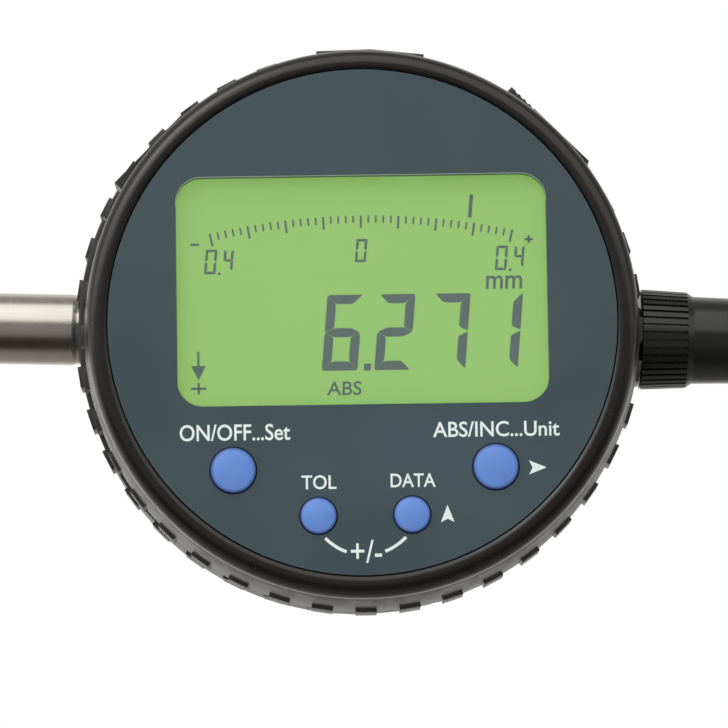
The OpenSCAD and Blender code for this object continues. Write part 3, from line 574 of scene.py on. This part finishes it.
ink = 0.02
legend = bmesh.new()
lettering(legend, "ON/OFF...Set", -20.1, -8.05, 11.15, 12.96, 0, ink, weight=0.012)
lettering(legend, "ABS/INC...Unit", 7.5, 21.3, 11.2, 12.9, 0, ink, weight=0.012)
lettering(legend, "TOL", -6.9, -3.1, 16.85, 18.4, 0, ink, weight=0.012)
lettering(legend, "DATA", 2.8, 7.7, 16.8, 18.3, 0, ink, weight=0.012)
lettering(legend, "+/-", -1.65, 1.75, 24.0, 26.5, 0, ink, weight=0.004)
slab(legend, [(17.9, 15.55), (19.8, 16.35), (17.9, 17.1), (18.3, 16.35)], 0, ink)
slab(legend, [(8.2, 22.2), (8.95, 20.3), (9.7, 22.2), (8.95, 21.8)], 0, ink)
for hand in (-1, 1):
    sweep = [(hand * (4.4 - 2.3 * t), 23.75 + 1.5 * t + 0.75 * t * (1 - t)) for t in
             (0, 0.2, 0.4, 0.6, 0.8, 1)]
    for start, end in zip(sweep, sweep[1:]):
        bar(legend, start, end, 0.34, 0, ink)
white_ink = finish("white_screen_ink", lambda start: {
    "Base Color": start.noise(0.25, 4.0).blend(tint(208, 222, 220), tint(240, 248, 246)),
    "Roughness": 0.45 + 0.15 * start.noise(0.3)})
settle("face_legend", legend, white_ink, "head", "panel_plastic")


# ---- Display -------------------------------------------------------------------------------------
# A liquid crystal cell with a yellow-green backlight, seen through a clear window. The window's
# opening is bevelled, and the cell shows a curved scale, a pointer and a reading of 6.271.
window_w, window_h, window_up, window_corner, bevel_width = 40.6, 25.3, 3.5, 2.8, 0.42
rim_depth = span("display_window", face)[0].y
rim = bmesh.new()
bmesh.ops.create_grid(rim, x_segments=1, y_segments=1, size=0.5)
bmesh.ops.scale(rim, verts=rim.verts, vec=(window_w * MM, window_h * MM, 1))
bmesh.ops.bevel(rim, geom=rim.verts[:], affect="VERTICES", offset=window_corner * MM,
                offset_type="OFFSET", segments=10, profile=0.5, material=-1, clamp_overlap=False)
for vert in rim.verts:
    vert.co = on_face(vert.co.x / MM, -window_up - vert.co.y / MM, 0.03)
opening = rim.faces[:]
bmesh.ops.inset_region(rim, faces=opening, thickness=bevel_width * MM, depth=0, use_boundary=True,
                       use_even_offset=True)
bmesh.ops.translate(rim, verts=list({v for f in opening for v in f.verts}),
                    vec=(0, (rim_depth - 0.05) * MM, 0))
bmesh.ops.delete(rim, geom=opening, context="FACES")
bmesh.ops.solidify(rim, geom=rim.faces[:], thickness=0.05 * MM)
rim_finish = finish("window_bevel_resin", lambda start: {
    "Base Color": start.noise(6.0).blend(tint(168, 182, 176), tint(184, 196, 190)),
    "Roughness": 0.25 + 0.1 * start.noise(0.8)})
settle("window_bevel", rim, rim_finish, "head", "panel_plastic")


def glowing(start):
    drift = start.noise(14.0, 1.0)
    grain = start.noise(0.10, 1.0)
    lit = drift.blend(tint(134, 190, 92), tint(146, 194, 86))
    lit = (grain * 0.25).blend(lit, tint(120, 176, 82))
    shade = drift.blend(tint(70, 104, 52), tint(80, 108, 52))
    return {"Base Color": shade, "Emission Color": lit, "Roughness": 0.3 + 0.1 * grain}


lcd_finish = finish("yellow_green_cell", glowing, Emission_Strength=0.74)
dress(lcd_finish, "lcd_panel")
clear_finish = finish("clear_window_acrylic", lambda start: {
    "Base Color": start.noise(20.0).blend(tint(205, 230, 205), tint(220, 240, 215)),
    "Roughness": 0.03 + 0.04 * start.noise(5.0)}, Alpha=0.06, IOR=1.49)
dress(clear_finish, "display_window")

glass_front = span("lcd_panel", face)[0].y
segment_ink = 0.015
STROKES = {"a": lambda w, m, h, t: [(0, 0), (w, 0), (w - t, t), (t, t)],
           "b": lambda w, m, h, t: [(w, 0), (w, m), (w - t, m - t / 2), (w - t, t)],
           "c": lambda w, m, h, t: [(w, m), (w, h), (w - t, h - t), (w - t, m + t / 2)],
           "d": lambda w, m, h, t: [(t, h - t), (w - t, h - t), (w, h), (0, h)],
           "e": lambda w, m, h, t: [(0, m), (t, m + t / 2), (t, h - t), (0, h)],
           "f": lambda w, m, h, t: [(0, 0), (t, t), (t, m - t / 2), (0, m)],
           "g": lambda w, m, h, t: [(0, m), (t, m - t / 2), (w - t, m - t / 2), (w, m), (w - t, m + t / 2),
                                    (t, m + t / 2)]}
DIGITS = {"0": "abcdef", "1": "bc", "2": "abged", "4": "fgbc", "6": "acdefg", "7": "abc"}


def digit(bm, figure, left, top, width, height, stroke, lean=0.09, gap=0.04):
    """One seven-segment figure. lean is how far it slants for each unit of its height."""
    for name in DIGITS[figure]:
        corners = STROKES[name](width, height / 2, height, stroke)
        middle = [sum(c[i] for c in corners) / len(corners) for i in (0, 1)]
        half = max(abs(x - middle[0]) for x, y in corners), max(abs(y - middle[1]) for x, y in corners)
        keep = 1 - gap / 2 / half[0], 1 - gap / 2 / half[1]
        shrunk = [[middle[i] + (c[i] - middle[i]) * keep[i] for i in (0, 1)] for c in corners]
        slab(bm, [(left + x + (height - y) * lean, top + y) for x, y in shrunk], glass_front, segment_ink,
             blunt=stroke * 0.2)


shown = bmesh.new()
big_top, big_h, big_w, big_stroke = -3.15, 8.4, 3.95, 1.06
for figure, left in (("6", -4.55), ("2", 1.2), ("7", 7.25), ("1", 13.0)):
    digit(shown, figure, left, big_top, big_w, big_h, big_stroke)
slab(shown, [(0.15, 4.5), (0.9, 4.5), (0.82, 5.25), (0.07, 5.25)], glass_front, segment_ink)
for left in (-17.3, 14.6):
    digit(shown, "0", left, -8.35, 1.3, 2.75, 0.32, gap=0.03)
    digit(shown, "4", left + 2.05, -8.35, 1.1, 2.45, 0.32, gap=0.03)
    slab(shown, [(left + 1.55, -5.8), (left + 1.85, -5.8), (left + 1.85, -5.5), (left + 1.55, -5.5)],
         glass_front, segment_ink)
digit(shown, "0", -0.75, -9.3, 1.25, 2.6, 0.32, gap=0.03)
tick_pitch, tick_count, arc_r = 0.83, 41, 76
for i in range(tick_count):
    x = (i - tick_count // 2) * tick_pitch
    top = -11.9 + x * x / 2 / arc_r
    long = 1.4 if i % 5 == 0 else 0.84
    bar(shown, (x, top), (x - x / arc_r * long, top + long), 0.2 if i % 5 else 0.24, glass_front, segment_ink)
bar(shown, (12.2, -14.05), (11.96, -11.5), 0.4, glass_front, segment_ink)
bar(shown, (-18.7, -8.9), (-17.75, -8.9), 0.26, glass_front, segment_ink)
bar(shown, (17.95, -9.0), (18.85, -9.0), 0.26, glass_front, segment_ink)
bar(shown, (18.4, -9.45), (18.4, -8.55), 0.26, glass_front, segment_ink)
bar(shown, (-18.0, 2.9), (-18.0, 4.7), 0.24, glass_front, segment_ink)
slab(shown, [(-18.8, 4.5), (-17.2, 4.5), (-18.0, 6.1)], glass_front, segment_ink)
bar(shown, (-18.85, 7.0), (-17.15, 7.0), 0.24, glass_front, segment_ink)
bar(shown, (-18.0, 6.35), (-18.0, 7.65), 0.24, glass_front, segment_ink)
lettering(shown, "mm", 13.6, 17.6, -5.05, -3.55, glass_front, segment_ink, 0.05, 0.012)
lettering(shown, "ABS", -4.0, -0.2, 6.4, 7.95, glass_front, segment_ink, 0.05, 0.012)
segment_finish = finish("dark_crystal", lambda start: {
    "Base Color": start.noise(0.12, 2.0).blend(tint(50, 68, 78), tint(62, 80, 88)),
    "Roughness": 0.4 + 0.1 * start.noise(0.5)})
settle("display_figures", shown, segment_finish, "head", "lcd_green")


# ---- Keys ----------------------------------------------------------------------------------------
# Four domed buttons of blue silicone rubber, moulded with a flange that sits behind the panel and a
# foot that presses its switch. The skirt in the hole and the foot of the dome just above the panel
# are painted dark navy: painted shade where no light reaches them.
def rubber(start):
    height = face.y / MM - 1000 * start.node("SeparateXYZ", {}, {0: start.place()}, out="Y")
    # Painted shade: lit falls to 0 within 0.2 mm of the panel and below it, where the blue turns dark navy.
    lit = height.ramp((0.20, 0), (0.33, 1))
    skin = start.noise(0.10, 2.0)
    drift = start.noise(3.0, 2.0)
    top = drift.blend(tint(80, 124, 202), tint(96, 140, 216))
    shade = lit.blend(tint(26, 42, 104), (skin * 0.3).blend(top, tint(118, 158, 226)))
    relief = start.node("Bump", {}, {"Strength": 0.5, "Distance": 0.006 * MM, "Height": skin})
    return {"Base Color": shade, "Roughness": 0.50 + 0.2 * (skin - 0.5), "Normal": relief}


key_blue = finish("blue_silicone", rubber)
for node in ("power_key", "mode_key", "tolerance_key", "data_key"):
    low, high = span(node, face)
    hub = face + Vector(((low.x + high.x) / 2, 0, (low.z + high.z) / 2)) * MM
    key_r = (high.x - low.x) / 2 - 0.5
    proud = -low.y
    dome = [(-proud + proud * 0.55 * (t / 6) ** 2, key_r * 0.92 * t / 6) for t in range(6)]
    outline = dome + [(-proud * 0.42, key_r * 0.94), (-proud * 0.25, key_r, 0.12), (1.65, key_r),
                      (1.65, key_r + 0.5, 0.1), (2.2, key_r + 0.5, 0.1), (2.2, key_r - 0.9),
                      (high.y, key_r - 0.9, 0.1), (high.y, 0)]
    settle(node + "_button", turned(outline, hub, ALONG_Y, 96), key_blue, node, "key_blue", node, sharp=50)


# ---- Inside the head -----------------------------------------------------------------------------
# The cell sits in a white frame with a light guide behind it, and striped rubber joins it to the
# board. The board carries the chips, the cable socket and a steel dome switch for each key.
frame_white = moulded("frame_polymer", tint(226, 226, 222), 0.40, scuffs=0.15)
strip_rubber = finish("striped_contact_rubber", lambda start: {
    "Base Color": start.noise(0.12, 1.0, (1, 0.01, 0.01)).ramp((0.48, 0), (0.52, 1)).blend(tint(36, 36, 38),
                                                                                         tint(176, 178, 180)),
    "Roughness": 0.6 + 0.1 * start.noise(1.0)})
light_guide = finish("light_guide_acrylic", lambda start: {
    "Base Color": start.noise(0.3, 1.0).blend(tint(222, 236, 196), tint(238, 246, 220)),
    "Roughness": 0.25 + 0.2 * start.noise(0.3)})
dome_steel = ground_steel("dome_switch_steel", tint(200, 202, 205), 0.22, (1, 1, 1), 0.2)
gilt = ground_steel("gilt_contacts", tint(212, 172, 84), 0.22, (1, 1, 1), 0.2)
socket_cream = moulded("socket_polymer", tint(230, 222, 204), 0.42, scuffs=0.15)
dress(frame_white, "lcd_frame")
dress(strip_rubber, "contact_strips")
dress(light_guide, "backlight_plate")
dress(dome_steel, "key_switches")
dress(gilt, "port_contacts", "battery_contacts")
dress(socket_cream, "flex_socket", "port_block")


# ---- Battery drawer and port cover ---------------------------------------------------------------
# A drawer with a coin cell slides out of the head at the upper left, and a ribbed cover pulls out
# of the data port at the upper right. Both are moulded and show as flats on the head's rim.
drawer_plastic = moulded("drawer_plastic", tint(44, 43, 42), 0.42)
settle("cell_drawer", softened("battery_drawer", 0.08), drawer_plastic, "battery_drawer", "drawer_plastic",
       "battery_drawer", outward=False)
cell_steel = ground_steel("coin_cell_steel", tint(214, 216, 219), 0.22, (1, 1, 1), 0.3)
settle("coin_cell", softened("battery_cell", 0.12), cell_steel, "battery_drawer", "cell_steel",
       "battery_cell", outward=False)
port_plastic = moulded("port_cover_plastic", tint(46, 45, 44), 0.42)
settle("port_lid", softened("port_cover", 0.08), port_plastic, "port_cover", "port_plastic", "port_cover",
       outward=False)
